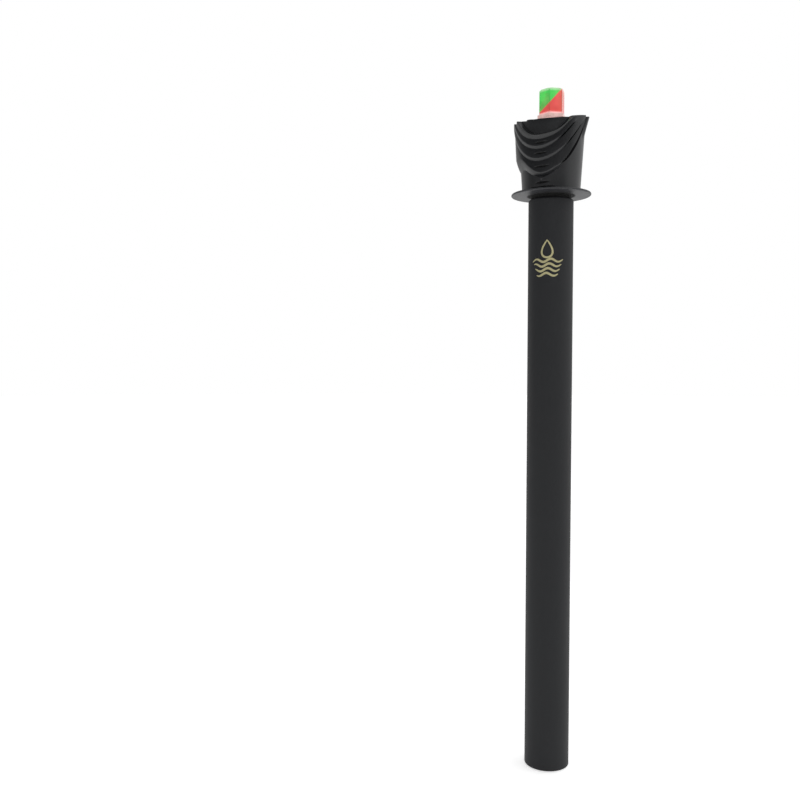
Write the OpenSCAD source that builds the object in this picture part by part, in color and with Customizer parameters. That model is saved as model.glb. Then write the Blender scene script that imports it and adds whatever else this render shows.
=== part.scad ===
// Submersible aquarium heater.
// A sealed polymer tube holds a wound ceramic heating core, with a control board above it.
// The head is a tapered shell with a swagged drape, and a clear hexagonal dial stands in its top.
//
// Millimetres. The origin is the centre of the tube's flat end, and +Z runs up to the dial.
// The middle of the drape faces -Y, and the cord inlet is on the +Y side of the head.

/* [Tube] */
// Outside diameter of the tube
tube_d = 23; // [21:0.5:26]
// Length of the tube from its flat end to its mouth
tube_len = 294.2; // [260:0.1:330]
// Wall of the tube
tube_wall = 1.2; // [1:0.05:1.4]
// Thickness of the tube's closed end
tube_end = 2; // [1.5:0.1:3]
// Corner radius round the closed end
tube_edge = 0.8; // [0.4:0.1:1.2]
// Corner radius round the mouth
mouth_edge = 0.8; // [0.3:0.1:0.9]

/* [Collar] */
// Neck that shows between the tube's mouth and the flange
neck_h = 2.1; // [2:0.1:4]
// How deep the spigot reaches into the tube
spigot_depth = 18; // [14:0.5:22]
// Wall of the spigot
spigot_wall = 2; // [1.8:0.1:2.4]
// How far the flange stands out beyond the crown's foot
flange_over = 5.6; // [4:0.1:7]
// Thickness of the flange
flange_t = 1.1; // [1:0.1:2]
// Step in radius from the tube out to the barrel inside the crown
barrel_step = 2; // [1.8:0.1:2.4]
// Wall of the barrel
barrel_wall = 1.5; // [1.3:0.1:1.7]
// Floor of the barrel above the flange's underside
barrel_floor = 2.5; // [2:0.1:4]
// Thickness of the round seals' cord
seal_d = 1.2; // [1:0.05:1.3]
// Distance from the tube's mouth down to the upper spigot seal
seal_drop = 5; // [4:0.5:7]
// Spacing of the two spigot seals
seal_gap = 4.5; // [3:0.5:6]

/* [Crown] */
// Wall of the crown at its foot
crown_wall = 1.05; // [0.9:0.05:1.5]
// Wall of the crown round the head plate
rim_wall = 1.65; // [1.3:0.05:2]
// Height of the crown from the flange to the front of its rim
crown_h = 34.2; // [33:0.1:38]
// Radius that the crown gains in each millimetre of height
crown_taper = 0.065; // [0.06:0.005:0.08]
// How far the rim climbs from the front to the wings
rim_rise = 4.1; // [2:0.1:6]
// Angle from the front round to each wing
wing_angle = 101; // [90:1:115]
// Thickness of the drape at the flange
drape_t = 1.8; // [1.6:0.1:2.4]
// Thickness that the drape gains in each millimetre of height
drape_flare = 0.013; // [0.005:0.001:0.02]
// Height that each fold climbs from the front to the side
fold_rise = 27; // [22:0.5:32]
// Height of the lowest fold's lip above the flange's underside
fold_first = 6.9; // [5:0.1:9]
// Distance between the two lowest lips
fold_gap = 7.3; // [6:0.1:7.6]
// How much closer each further lip is
fold_shrink = 1; // [0.6:0.1:1.2]
// Height of a lip's rounded underside
lip_h = 1.6; // [1.2:0.1:2.2]
// How far the drape falls back under each upper lip, at the front
fold_depth = 1.5; // [0.8:0.1:1.7]
// Share of that depth that is gone at the side
fold_fade = 0.5; // [0:0.05:0.7]
// Height in which the drape's top edge falls back to the plain crown
scoop_h = 1.2; // [0.8:0.1:2]

/* [Head plate] */
// Step from the crown's front rim down to the plate
rim_step = 0.3; // [0.2:0.1:1]
// Thickness of the plate
plate_t = 2.6; // [2.2:0.1:3.2]
// Thickness of the flat gasket under the plate
gasket_t = 0.6; // [0.4:0.1:1]
// Height of the boss round the dial's stem, above the plate
dial_boss_h = 3.6; // [3.4:0.1:4.4]
// How far that boss stands below the plate
boss_drop = 1.6; // [1.2:0.1:2.2]
// Depth of the skirt that plugs the plate into the barrel
plug_h = 4; // [3:0.1:5]
// Wall of that skirt
plug_wall = 1; // [0.8:0.1:1.2]
// Radius of the two posts that carry the dial board
post_r = 1.7; // [1.5:0.1:1.8]

/* [Dial] */
// Size of the hexagonal dial across its corners
dial_d = 13.4; // [12:0.1:14]
// Height of the hexagon above its foot
dial_h = 12.8; // [9:0.1:14]
// Thickness of the dial's foot
foot_t = 1.6; // [1.2:0.1:2]
// How far the foot's corners stand out beyond the hexagon's
foot_over = 0.9; // [0.6:0.1:1.2]
// Gap between the foot and the boss below it
foot_gap = 0.6; // [0.4:0.1:1]
// Corner bevel at the dial's top
dial_bevel = 0.6; // [0.4:0.1:1.6]
// Diameter of the round well in the dial's top
well_d = 6.7; // [5:0.1:8]
// Depth of that well
well_h = 2; // [1:0.1:3.5]
// Diameter of the dial's stem
stem_d = 6.4; // [5.8:0.1:6.8]
// Depth of the flat that keys the rotor to the stem
stem_flat = 0.8; // [0.5:0.1:1.2]
// Thickness of the stem's retaining clip
clip_t = 0.8; // [0.6:0.1:1]
// Turn of the hexagon at the middle of its travel
dial_rest = 10.5; // [0:0.5:60]
// Travel of the dial between its stops
dial_travel = 270; // [240:5:280]
// Thickness of the stem seals' cord
stem_seal_d = 1; // [0.8:0.05:1.1]

/* [Cord inlet] */
// Diameter of the cord that the inlet takes
cord_d = 5; // [4.4:0.1:5.2]
// Height of the spout above the plate
spout_h = 2.2; // [1.8:0.1:2.3]
// Wall of the spout
spout_wall = 0.6; // [0.5:0.05:0.7]
// Thickness of the rubber ring that grips the cord
grip_t = 0.9; // [0.7:0.1:1]
// Wall of the gland nut
nut_wall = 0.6; // [0.5:0.05:0.7]

/* [Heating core] */
// Thickness of the soft pad under the core
pad_t = 3; // [2:0.1:5]
// Thickness of the ceramic discs at the core's ends
spacer_t = 4; // [3.5:0.1:6]
// Depth of the seat for the core in each disc
core_seat = 1.5; // [1:0.1:2]
// Diameter of the ceramic core
core_d = 12.4; // [11:0.1:13]
// Diameter of the nickel-chrome wire
coil_wire_d = 0.9; // [0.7:0.05:1]
// Turns of the heating coil
coil_turns = 24; // [16:1:24]
// Height of the terminal bands at the coil's ends
band_h = 3; // [2:0.1:4]
// Distance from each end of the core to its band
band_inset = 2; // [1.8:0.1:3]
// Thickness of the terminal bands
band_t = 0.95; // [0.9:0.05:1.1]
// Wall of the mica sleeve round the coil
sleeve_wall = 0.8; // [0.5:0.1:1]
// Diameter of the return rod in the core
rod_d = 1.2; // [1:0.1:1.2]
// Diameter of the thermal fuse
fuse_d = 4; // [3.4:0.1:4.4]
// Length of the thermal fuse
fuse_len = 10; // [8:0.5:11]
// Diameter of the thermal fuse's leads
lead_d = 0.9; // [0.7:0.1:1]
// Space between the top disc and the baffle, for the fuse
fuse_space = 14; // [13.5:0.5:18]
// Thickness of the silicone baffle
baffle_t = 10; // [8:0.5:14]

/* [Electronics] */
// Room between the barrel's floor and the dial board, for the control board's tall parts
board_room = 14.5; // [14:0.1:16]
// Thickness of both boards
board_t = 1.6; // [1.2:0.1:1.8]
// Length of the control board
board_len = 108; // [104:0.5:114]
// Space from the baffle up to the control board
board_lift = 4; // [3:0.5:8]
// Wall of the carrier's rings
carrier_wall = 0.8; // [0.6:0.1:1]
// Width of the film capacitor
film_w = 12; // [10:0.5:13]
// Depth of the film capacitor
film_d = 7; // [5:0.5:8]
// Height of the film capacitor
film_h = 12; // [10:0.5:12.5]
// Diameter of the smoothing capacitor
can_d = 6.3; // [5:0.1:8]
// Length of the smoothing capacitor
can_len = 11.5; // [9:0.5:14]
// Width of the triac
triac_w = 10; // [9:0.1:10.4]
// Height of the triac's body
triac_h = 9; // [8:0.1:10]
// Thickness of the triac's body
triac_t = 4.4; // [4:0.1:5]
// Thickness of the triac's tab
tab_t = 1.3; // [1:0.1:1.5]
// Width of the controller chip
chip_w = 5; // [4:0.1:6]
// Height of the controller chip
chip_h = 4; // [3.5:0.1:5]
// Thickness of the controller chip
chip_t = 1.5; // [1.2:0.1:2]
// Diameter of the resistors
resistor_d = 1.8; // [1.5:0.1:2.4]
// Length of the resistors
resistor_len = 4; // [3.4:0.1:6]
// Spacing of the resistors
resistor_gap = 3.5; // [3:0.1:4]
// Size of each mains terminal along the board
terminal_h = 8; // [6:0.5:9]
// Depth of the mains terminals
terminal_d = 6; // [5:0.5:7]
// Width of each mains terminal
terminal_w = 4.6; // [4:0.1:5]
// Diameter of the temperature probe's bead
bead_d = 2.4; // [2:0.1:3]
// Diameter of the potentiometer
pot_d = 14.8; // [14:0.1:15]
// Height of the potentiometer's cup
pot_h = 6.1; // [5.6:0.1:6.6]
// Diameter of the potentiometer's rotor
rotor_d = 10.4; // [9.8:0.1:10.8]
// Diameter of the two lamps under the stem
lamp_d = 2.2; // [1.6:0.1:2.4]

/* [Hidden] */

$fn = 96;

// Clearances
press_fit = 0.08;  // a piece pushed into its seat
run_fit = 0.05;    // a shaft that turns in its bore
touch = 0.02;      // a piece that lies against a round wall
slip = 0.2;        // a piece laid loosely in its place
swing = 0.3;       // pieces that pass each other as the dial turns
cut = 1;           // how far a cutter reaches past the piece it cuts

// Tube and collar. Heights that start with h_ are above the flange's underside.
tube_r = tube_d / 2;
bore_r = tube_r - tube_wall;
flange_z = tube_len + neck_h;
spigot_r = bore_r - press_fit;
spigot_in = spigot_r - spigot_wall;
h_spigot = -neck_h - spigot_depth;
seal_floor = bore_r - touch - seal_d;
barrel_r = tube_r + barrel_step;
barrel_in = barrel_r - barrel_wall;
crown_fit = 0.17;
foot_in = barrel_r + crown_fit;
foot_r = foot_in + crown_wall;
flange_r = foot_r + flange_over;

// Head plate and what seats on it
h_plate_top = flange_t + crown_h - rim_step;
h_plate = h_plate_top - plate_t;
h_barrel = h_plate - gasket_t;
rim_in = plain_r(h_barrel) - rim_wall;
plate_r = rim_in - slip;
plug_r = barrel_in - press_fit;
rim_draft = 0.2;
ledge_in = foot_in + 0.5;
h_ledge = h_barrel - touch;

// Dial
dial_r = dial_d / 2;
dial_foot_r = dial_r + foot_over;
h_foot = h_plate_top + dial_boss_h + foot_gap;
h_grip = h_foot + foot_t;
h_dial_top = h_grip + dial_h;
stem_r = stem_d / 2;
stem_bore = stem_r + run_fit;
stem_seal_floor = stem_r - stem_seal_d;
boss_r = dial_foot_r - 1.4;
h_boss = h_plate - boss_drop;
h_clip = h_boss - swing - clip_t;
clip_groove = 0.7;
clip_r = stem_r + 1.2;

// Cord inlet: the cord passes just outside the turning foot
cord_gap = 0.2;
cord_hole = cord_d / 2 + 0.1;
gland_y = dial_foot_r + cord_gap + cord_d / 2;
spout_r = cord_hole + spout_wall;
nut_fit = 0.05;
nut_hole = cord_hole + 0.3;
nut_r = spout_r + nut_fit + nut_wall;
nut_roof = 0.6;
cord_run = 14;

// Dial board, and the lamps, stem and potentiometer above it
lamp_gap = 0.3;
lamp_h = 2.1;
h_dial_board = barrel_floor + board_room + board_t;
h_stem = h_dial_board + lamp_h + lamp_gap;
stem_len = h_foot - h_stem;
dial_board_r = barrel_in - 0.6;
pot_r = pot_d / 2;
pot_floor = 1;
pot_in = pot_r - 0.9;
pot_cover_t = 0.6;
light_hole = stem_r + 0.4;
rotor_r = rotor_d / 2;
rotor_h = pot_h - pot_floor - 2 * swing;
lug_angle = 24;
lug_h = 2.5;
lug_r = pot_in - swing;
stop_clear = 2;
stop_angle = 360 - dial_travel - lug_angle - 2 * stop_clear;
post_x = pot_r + swing + post_r;
screw_r = 0.85;
screw_head_r = 1.6;
screw_head_h = 1;
screw_grip = 6;
lamp_x = lamp_d / 2 + 0.2;

// Control board: its front face stands just behind the return rod
rod_r = rod_d / 2;
board_y = rod_r + run_fit;
h_board_top = h_dial_board - board_t - touch;
board_z = flange_z + h_board_top - board_len;
board_back = board_y + board_t;
board_gap = 0.8;
board_half = sqrt(pow(spigot_in - board_gap, 2) - pow(board_back, 2));
carrier_r = bore_r - 0.15;
carrier_z = board_z + 8;
carrier_top = flange_z + h_spigot - swing;
carrier_ring_h = 3;
rail_half = 2;
rail_lap = 0.8;
rail_out = carrier_r - carrier_wall + 0.3;

// Heating core, stacked up from the tube's closed end
baffle_z = board_z - board_lift - baffle_t;
disc_low_z = tube_end + pad_t;
core_z = disc_low_z + spacer_t - core_seat;
disc_top_z = baffle_z - fuse_space;
core_top_z = disc_top_z - spacer_t + core_seat;
core_len = core_top_z - core_z;
core_r = core_d / 2;
sleeve_r = bore_r - 0.15;
sleeve_in = sleeve_r - sleeve_wall;
disc_r = sleeve_in - 0.1;
band_in = core_r + run_fit;
band_r = band_in + band_t;
wire_r = coil_wire_d / 2;
lead_r = lead_d / 2;
lead_x = (band_in + band_r) / 2;
fuse_r = fuse_d / 2;
fuse_top_z = baffle_z - 2;

// Heights of the lips at the front, from the lowest up
LIPS = [for (k = [0:3]) fold_first + k * fold_gap - fold_shrink * k * (k - 1) / 2];
TOP = len(LIPS) - 1;

// Levels across the drape at which the crown's mesh has a row: five up each lip, three between
// lips and two up the drape's top edge
LIP_STEPS = [0, 0.12, 0.3, 0.6, 1];
FALL_STEPS = [0.35, 0.7];
EDGE_STEPS = [0.5, 1];
LEVELS = concat(
    [for (k = [0:TOP]) each concat(
        [for (t = LIP_STEPS) LIPS[k] + t * lip_h],
        k == TOP ? [for (t = EDGE_STEPS) LIPS[k] + lip_h + t * scoop_h]
                 : [for (t = FALL_STEPS) LIPS[k] + lip_h + t * (LIPS[k + 1] - LIPS[k] - lip_h)])]);
CROWN_SIDES = 96;
row_space = 0.05;

// Radius of the plain crown at height h
function plain_r(h) = foot_r + crown_taper * (h - flange_t);

// Thickness of the drape at height h
function drape_full(h) = drape_t + drape_flare * h;

// A smooth step from 0 to 1
function ease(t) = let (s = min(max(t, 0), 1)) s * s * (3 - 2 * s);

// Height of the rim at angle a from the front
function rim_h(a) =
    let (side = min(a, 360 - a, wing_angle))
    flange_t + crown_h + rim_rise * (1 - cos(side)) / (1 - cos(wing_angle));

// Height of the point at angle a and height h, slid down its fold's slanted plane to the front
function slide_down(a, h) = h - fold_rise * (1 - cos(a));

// How far the drape falls back from its full thickness at level w: all of it below the lowest
// lip and above the top edge, nothing at each lip's crest, and a slow fall up to the next lip
function fall(w, full, depth) =
    w <= LIPS[0] ? full :
    let (k = max([for (i = [0:TOP]) if (w >= LIPS[i]) i]),
         up = (w - LIPS[k]) / lip_h)
    up < 1 ? (k == 0 ? full : depth) * (1 - sqrt(1 - pow(1 - up, 2))) :
    k == TOP ? full * ease((w - LIPS[k] - lip_h) / scoop_h) :
    depth * pow((w - LIPS[k] - lip_h) / (LIPS[k + 1] - LIPS[k] - lip_h), 1.5);

// Radius of the crown's outside at angle a and height h
function crown_r(a, h) =
    let (full = drape_full(h), depth = fold_depth * (1 - fold_fade * min(1 - cos(a), 1)))
    plain_r(h) + full - fall(slide_down(a, h), full, depth);

function round_point(r, a, h) = [r * sin(a), -r * cos(a), h];

// One section of the crown at angle a: up the outside, over the rim and down the inside
function crown_section(a) =
    let (rim = rim_h(a),
         rows = concat([flange_t],
                       [for (i = [0:len(LEVELS) - 1])
                            min(LEVELS[i] + fold_rise * (1 - cos(a)), rim - row_space * (len(LEVELS) - i))],
                       [rim]))
    concat([for (h = rows) round_point(crown_r(a, h), a, h)],
           [round_point(rim_in + rim_draft, a, rim),
            round_point(rim_in, a, h_ledge),
            round_point(ledge_in, a, h_ledge),
            round_point(foot_in, a, flange_t)]);

// Faces of a closed band of sections: n sections with m points each
function ring_faces(n, m) =
    [for (j = [0:n - 1], i = [0:m - 1])
        let (a = j * m + i, b = j * m + (i + 1) % m,
             c = ((j + 1) % n) * m + (i + 1) % m, d = ((j + 1) % n) * m + i)
        each [[a, b, c], [a, c, d]]];

// Lifts a piece that is drawn from the flange's underside
module at_head(h = 0) {
    translate([0, 0, flange_z + h]) children();
}

// A round seal whose cord touches the inside radius given
module seal_ring(inside, cord) {
    rotate_extrude() translate([inside + cord / 2, 0]) circle(cord / 2);
}

// A tube between two radii
module pipe(outer, inner, h) {
    difference() {
        cylinder(r = outer, h = h);
        translate([0, 0, -cut]) cylinder(r = inner, h = h + 2 * cut);
    }
}

// A hexagonal prism with corners at radius r
module hexagon(r, h) {
    cylinder(r = r, h = h, $fn = 6);
}

// Square cutter for the cord, from the spout's axis out to the cord's far side
module cord_way(from, h) {
    translate([-cord_hole, gland_y - cord_hole, from]) cube([2 * cord_hole, 2 * cord_hole, h]);
}

// Upright wire
module wire(r, h) {
    cylinder(r = r, h = h, $fn = 24);
}

// Sector of a ring, centred on the +Y direction
module ring_sector(outer, inner, angle, h) {
    rotate([0, 0, 90 - angle / 2])
        rotate_extrude(angle = angle)
            translate([inner, 0]) square([outer - inner, h]);
}

// ---- Tube and collar ----

module heater_tube() {
    color("#2b2b2d") rotate_extrude() difference() {
        union() {
            square([tube_r - tube_edge, tube_len - mouth_edge]);
            translate([0, tube_edge]) square([tube_r, tube_len - tube_edge - mouth_edge]);
            translate([tube_r - tube_edge, tube_edge]) circle(tube_edge);
            square([tube_r - mouth_edge, tube_len]);
            translate([tube_r - mouth_edge, tube_len - mouth_edge]) circle(mouth_edge);
        }
        translate([0, tube_end]) square([bore_r, tube_len]);
    }
}

module tube_seals() {
    color("#161616")
        for (i = [0, 1])
            translate([0, 0, tube_len - seal_drop - i * seal_gap])
                seal_ring(seal_floor + touch / 2, seal_d);
}

module flange_collar() {
    groove = seal_d + slip;
    color("#262628") at_head() difference() {
        rotate_extrude() difference() {
            union() {
                translate([0, h_spigot]) square([spigot_r, -h_spigot + flange_t]);
                square([flange_r - flange_t / 2, flange_t]);
                translate([flange_r - flange_t / 2, flange_t / 2]) circle(flange_t / 2);
                square([barrel_r, h_barrel]);
            }
            translate([0, h_spigot - cut]) square([spigot_in, barrel_floor - h_spigot + 2 * cut]);
            translate([0, barrel_floor]) square([barrel_in, h_barrel]);
            for (i = [0, 1])
                translate([seal_floor, -neck_h - seal_drop - i * seal_gap - groove / 2])
                    square([seal_d + cut, groove]);
        }
        cord_way(h_barrel - cord_run, cord_run + cut);
    }
}

// ---- Crown ----

module crown_shroud() {
    sections = [for (j = [0:CROWN_SIDES - 1]) crown_section(j * 360 / CROWN_SIDES)];
    color("#29292b") at_head()
        polyhedron(points = [for (s = sections) each s],
                   faces = ring_faces(CROWN_SIDES, len(sections[0])));
}

// ---- Head plate and cord inlet ----

module head_gasket() {
    color("#181818") at_head(h_barrel) difference() {
        pipe(plate_r, plug_r + press_fit, gasket_t);
        cord_way(-cut, gasket_t + 2 * cut);
    }
}

module head_plate() {
    post_h = h_plate - h_dial_board;
    color("#262628") difference() {
        union() {
            at_head(h_plate) cylinder(r = plate_r, h = plate_t);
            at_head(h_plate - plug_h) difference() {
                pipe(plug_r, plug_r - plug_wall, plug_h + plate_t / 2);
                cord_way(-cut, plug_h + cut);
            }
            at_head(h_boss) cylinder(r = boss_r, h = h_plate_top + dial_boss_h - h_boss);
            at_head(h_plate) translate([0, gland_y, 0]) cylinder(r = spout_r, h = plate_t + spout_h);
            for (s = [-1, 1])
                at_head(h_dial_board) translate([s * post_x, 0, 0])
                    cylinder(r = post_r, h = post_h + plate_t / 2);
        }
        at_head(h_boss - cut) cylinder(r = stem_bore, h = h_foot - h_boss + 2 * cut);
        at_head(h_plate - cut) translate([0, gland_y, 0])
            cylinder(r = cord_hole, h = plate_t + spout_h + 2 * cut);
        for (s = [-1, 1])
            at_head(h_dial_board - cut) translate([s * post_x, 0, 0])
                cylinder(r = screw_r + run_fit, h = screw_grip + 2 * cut);
    }
}

module cord_grommet() {
    color("#181818") at_head(h_plate_top + spout_h) translate([0, gland_y, 0])
        pipe(spout_r, cord_hole, grip_t);
}

module gland_nut() {
    skirt = spout_h + grip_t - slip;
    color("#2a2a2c") at_head(h_plate_top + slip) translate([0, gland_y, 0]) difference() {
        cylinder(r = nut_r, h = skirt + nut_roof);
        translate([0, 0, -cut]) cylinder(r = spout_r + nut_fit, h = skirt + cut);
        translate([0, 0, -cut]) cylinder(r = nut_hole, h = skirt + nut_roof + 2 * cut);
    }
}

// ---- Dial ----

// Heights of the two stem seals, inside the boss's bore
h_stem_seals = [h_boss + 2.6, h_boss + 5.4];

module dial_knob() {
    groove = stem_seal_d + slip;
    color([0.75, 0.95, 0.8, 0.55]) at_head() rotate([0, 0, dial_rest - 90]) difference() {
        union() {
            translate([0, 0, h_grip - foot_t / 2]) intersection() {
                hexagon(dial_r, dial_h + foot_t / 2);
                rotate_extrude() polygon([[0, 0], [dial_r, 0], [dial_r, dial_h + foot_t / 2 - dial_bevel],
                                          [dial_r - dial_bevel, dial_h + foot_t / 2],
                                          [0, dial_h + foot_t / 2]]);
            }
            translate([0, 0, h_foot]) hexagon(dial_foot_r, foot_t);
            translate([0, 0, h_stem]) cylinder(r = stem_r, h = stem_len + foot_t / 2);
        }
        translate([0, 0, h_dial_top - well_h]) cylinder(r = well_d / 2, h = well_h + cut);
        for (h = h_stem_seals)
            translate([0, 0, h - groove / 2]) pipe(stem_r + cut, stem_seal_floor, groove);
        translate([0, 0, h_clip - touch]) pipe(stem_r + cut, stem_r - clip_groove, clip_t + 2 * touch);
        translate([stem_r - stem_flat, -stem_r, h_stem - cut])
            cube([stem_flat + cut, stem_d, h_clip - swing - h_stem + cut]);
    }
}

module stem_seals() {
    color("#161616") at_head()
        for (h = h_stem_seals)
            translate([0, 0, h]) seal_ring(stem_seal_floor + touch, stem_seal_d);
}

module stem_clip() {
    mouth = stem_r - clip_groove;
    color("#b9bcc0") at_head(h_clip) rotate([0, 0, dial_rest]) difference() {
        pipe(clip_r, stem_r - clip_groove + touch, clip_t);
        translate([-mouth * 0.8, 0, -cut]) cube([mouth * 1.6, clip_r + cut, clip_t + 2 * cut]);
    }
}

// Its bore is round below the stem's end, where the lamps stand, and keyed to the flat above
module pot_rotor() {
    socket = h_stem - h_dial_board - pot_floor - swing - slip;
    color("#d9d4c4") at_head(h_dial_board + pot_floor + swing) rotate([0, 0, dial_rest - 90]) {
        difference() {
            union() {
                cylinder(r = rotor_r, h = rotor_h);
                rotate([0, 0, 90 - dial_rest]) ring_sector(lug_r, rotor_r - 0.5, lug_angle, lug_h);
            }
            difference() {
                translate([0, 0, -cut]) cylinder(r = stem_r + touch, h = rotor_h + 2 * cut);
                translate([stem_r - stem_flat + touch, -stem_r - cut, socket])
                    cube([stem_flat + cut, stem_d + 2 * cut, rotor_h + cut]);
            }
        }
    }
}

module pot_body() {
    color("#3a3f45") at_head(h_dial_board) {
        pipe(pot_r, light_hole, pot_floor);
        pipe(pot_r, pot_in, pot_h);
        mirror([0, 1, 0]) ring_sector(pot_in + 0.2, rotor_r + swing, stop_angle, pot_h);
    }
}

module pot_cover() {
    color("#b9bcc0") at_head(h_dial_board + pot_h) pipe(pot_r, light_hole, pot_cover_t);
}

module dial_board() {
    color("#1f6b3a") at_head(h_dial_board - board_t) difference() {
        cylinder(r = dial_board_r, h = board_t);
        for (s = [-1, 1])
            translate([s * post_x, 0, -cut]) cylinder(r = screw_r + run_fit, h = board_t + 2 * cut);
        cord_way(-cut, board_t + 2 * cut);
    }
}

module board_screws() {
    color("#c2c4c8") at_head(h_dial_board - board_t)
        for (s = [-1, 1])
            translate([s * post_x, 0, 0]) {
                cylinder(r = screw_r, h = board_t + screw_grip);
                difference() {
                    translate([0, 0, -screw_head_h]) cylinder(r = screw_head_r, h = screw_head_h);
                    translate([-screw_head_r, -0.2, -screw_head_h - cut])
                        cube([2 * screw_head_r, 0.4, screw_head_h / 2 + cut]);
                }
            }
}

// A small lamp with a domed top
module lamp() {
    straight = lamp_h - lamp_d / 2;
    rotate_extrude() {
        square([lamp_d / 2, straight]);
        intersection() {
            translate([0, straight]) circle(lamp_d / 2);
            square([lamp_d / 2, lamp_h]);
        }
    }
}

module green_lamp() {
    color("#5fe669") at_head(h_dial_board) translate([-lamp_x, 0, 0]) lamp();
}

module red_lamp() {
    color("#ee5f5c") at_head(h_dial_board) translate([lamp_x, 0, 0]) lamp();
}

module link_header() {
    pitch = 2.54;
    pin_r = 0.3;
    block = 2.5;
    color("#caa84a") at_head(h_board_top - block - 1.2) {
        for (i = [-1.5:1:1.5])
            translate([i * pitch, board_back + touch + block / 2, 0]) wire(pin_r, block + 1.2 + touch);
        translate([-2 * pitch, board_back + touch, 0]) cube([4 * pitch, block, block]);
    }
}

// ---- Control board ----

// Heights on the board, measured up from its lower end
can_up = 51;
triac_up = 31;
chip_up = 19;
resistors_up = 9;
probe_up = 5;
rod_lap = 3.6;

module control_board() {
    color("#1f6b3a") translate([-board_half, board_y, board_z]) cube([2 * board_half, board_t, board_len]);
}

module board_carrier() {
    rail_h = carrier_top - carrier_z;
    slot = board_t + 2 * run_fit;
    mid = board_y + board_t / 2;
    color("#e4e0d2") translate([0, 0, carrier_z]) difference() {
        union() {
            pipe(carrier_r, carrier_r - carrier_wall, carrier_ring_h);
            translate([0, 0, rail_h - carrier_ring_h])
                pipe(carrier_r, carrier_r - carrier_wall, carrier_ring_h);
            intersection() {
                cylinder(r = carrier_r, h = rail_h);
                for (s = [-1, 1])
                    translate([s * (board_half - rail_lap + rail_out) / 2, mid, rail_h / 2])
                        cube([rail_out - board_half + rail_lap, 2 * rail_half, rail_h], center = true);
            }
        }
        translate([-board_half - run_fit, mid - slot / 2, -cut])
            cube([2 * (board_half + run_fit), slot, rail_h + 2 * cut]);
    }
}

module mains_terminals() {
    screw_hole = 1.1;
    color("#b9bcc0")
        for (s = [-1, 1])
            translate([s * (terminal_w / 2 + 0.6), board_back + touch, flange_z + barrel_floor + 1.5])
                difference() {
                    translate([-terminal_w / 2, 0, 0]) cube([terminal_w, terminal_d, terminal_h]);
                    translate([0, terminal_d / 2, terminal_h / 2]) rotate([-90, 0, 0])
                        cylinder(r = screw_hole, h = terminal_d);
                    translate([0, terminal_d * 0.45, terminal_h / 2]) cylinder(r = screw_hole, h = terminal_h);
                }
}

module film_capacitor() {
    color("#c9a227") translate([-film_w / 2, board_y - touch - film_d, flange_z + barrel_floor + 1])
        cube([film_w, film_d, film_h]);
}

module smoothing_capacitor() {
    can_r = can_d / 2;
    bead = 0.35;
    color("#2f3f6b") translate([0, board_y - touch - can_r, board_z + can_up]) difference() {
        cylinder(r = can_r, h = can_len);
        translate([0, 0, can_len * 0.12]) pipe(can_r + cut, can_r - bead, 2 * bead);
    }
}

module triac() {
    tab_h = triac_h * 0.7;
    leg_r = 0.35;
    leg_len = 4;
    color("#1c1c1e") translate([0, board_y - touch, board_z + triac_up]) difference() {
        union() {
            translate([-triac_w / 2, -triac_t, 0]) cube([triac_w, triac_t, triac_h]);
            translate([-triac_w / 2, -tab_t, 0]) cube([triac_w, tab_t, triac_h + tab_h]);
            for (i = [-1, 0, 1])
                translate([i * 2.54, -triac_t / 2, -leg_len]) wire(leg_r, leg_len + 0.5);
            for (i = [-1, 0, 1])
                translate([i * 2.54, 0, -leg_len + leg_r]) rotate([90, 0, 0]) wire(leg_r, triac_t / 2);
        }
        translate([0, cut, triac_h + tab_h / 2]) rotate([90, 0, 0]) cylinder(r = 1.8, h = tab_t + 2 * cut);
    }
}

module controller_chip() {
    leg = 0.4;
    color("#1c1c1e") translate([0, board_y - touch, board_z + chip_up]) {
        translate([-chip_w / 2, -chip_t, 0]) cube([chip_w, chip_t - 0.1, chip_h]);
        for (i = [0:3], s = [-1, 1])
            translate([s * (chip_w / 2 + 0.4) - 0.5, -chip_t / 2, 0.3 + i * (chip_h - 1) / 3])
                cube([1, chip_t / 2, leg]);
    }
}

module resistors() {
    lead = 0.25;
    reach = resistor_len / 2 + 1;
    color("#c7b48a")
        for (i = [0:2])
            translate([0, board_y - touch - resistor_d / 2, board_z + resistors_up + i * resistor_gap]) {
                translate([-resistor_len / 2, 0, 0]) rotate([0, 90, 0])
                    cylinder(r = resistor_d / 2, h = resistor_len);
                translate([-reach, 0, 0]) rotate([0, 90, 0]) wire(lead, 2 * reach);
                for (s = [-1, 1])
                    translate([s * reach, resistor_d / 2, 0]) rotate([90, 0, 0])
                        wire(lead, resistor_d / 2 + lead);
            }
}

// The bead touches the tube's wall, and its two leads run back to the board
module temperature_probe() {
    bead_y = bore_r - touch - bead_d / 2;
    lead = 0.25;
    color("#20242c") translate([0, 0, board_z + probe_up]) {
        translate([0, -bead_y, 0]) sphere(bead_d / 2);
        for (s = [-1, 1])
            translate([s * 0.6, board_y - touch, 0]) rotate([90, 0, 0])
                wire(lead, board_y - touch + bead_y);
    }
}

// ---- Heating core ----

module heat_baffle() {
    color("#d8d3cb") translate([0, 0, baffle_z]) difference() {
        cylinder(r = bore_r - 0.1, h = baffle_t);
        translate([0, 0, -cut]) cylinder(r = rod_r + run_fit, h = baffle_t + 2 * cut);
        translate([lead_x, 0, -cut]) cylinder(r = lead_r + run_fit, h = baffle_t + 2 * cut);
    }
}

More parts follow.
